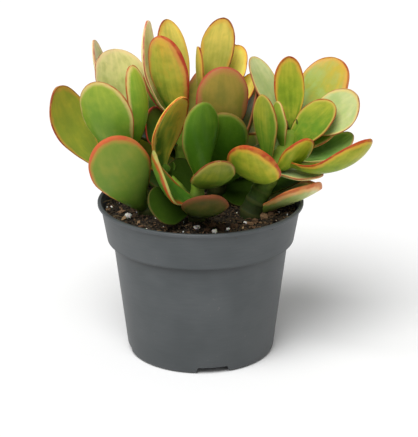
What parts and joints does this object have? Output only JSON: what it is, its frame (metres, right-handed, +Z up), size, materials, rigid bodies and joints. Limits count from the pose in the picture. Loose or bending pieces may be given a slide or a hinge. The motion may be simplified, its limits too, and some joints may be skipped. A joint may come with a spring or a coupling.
{
  "type": "potted jade plant",
  "caption": "Succulent with flat oval leaves edged in orange, on short thick stems in dark soil, in a round tapered nursery pot with a stepped collar",
  "frame": {"origin": "centre of the pot's foot, on the plane it stands on", "axes": "+Z up, -Y towards the viewer of the picture, +X to that viewer's right"},
  "size_m": [0.1802, 0.1304, 0.1953],
  "materials": {
    "pot_plastic": "slate grey moulded plastic with a satin sheen",
    "soil_mix": "dark brown damp potting soil with fibres and white perlite",
    "leaf_skin": "smooth waxy leaf skin, yellow-green to dark green with orange-red margins"
  },
  "bodies": {
    "root": {"pot": "pot_plastic", "soil": "soil_mix", "shoot_left": "leaf_skin", "shoot_back_left": "leaf_skin", "shoot_back_right": "leaf_skin", "shoot_centre": "leaf_skin", "shoot_right": "leaf_skin"}
  },
  "joints": []
}
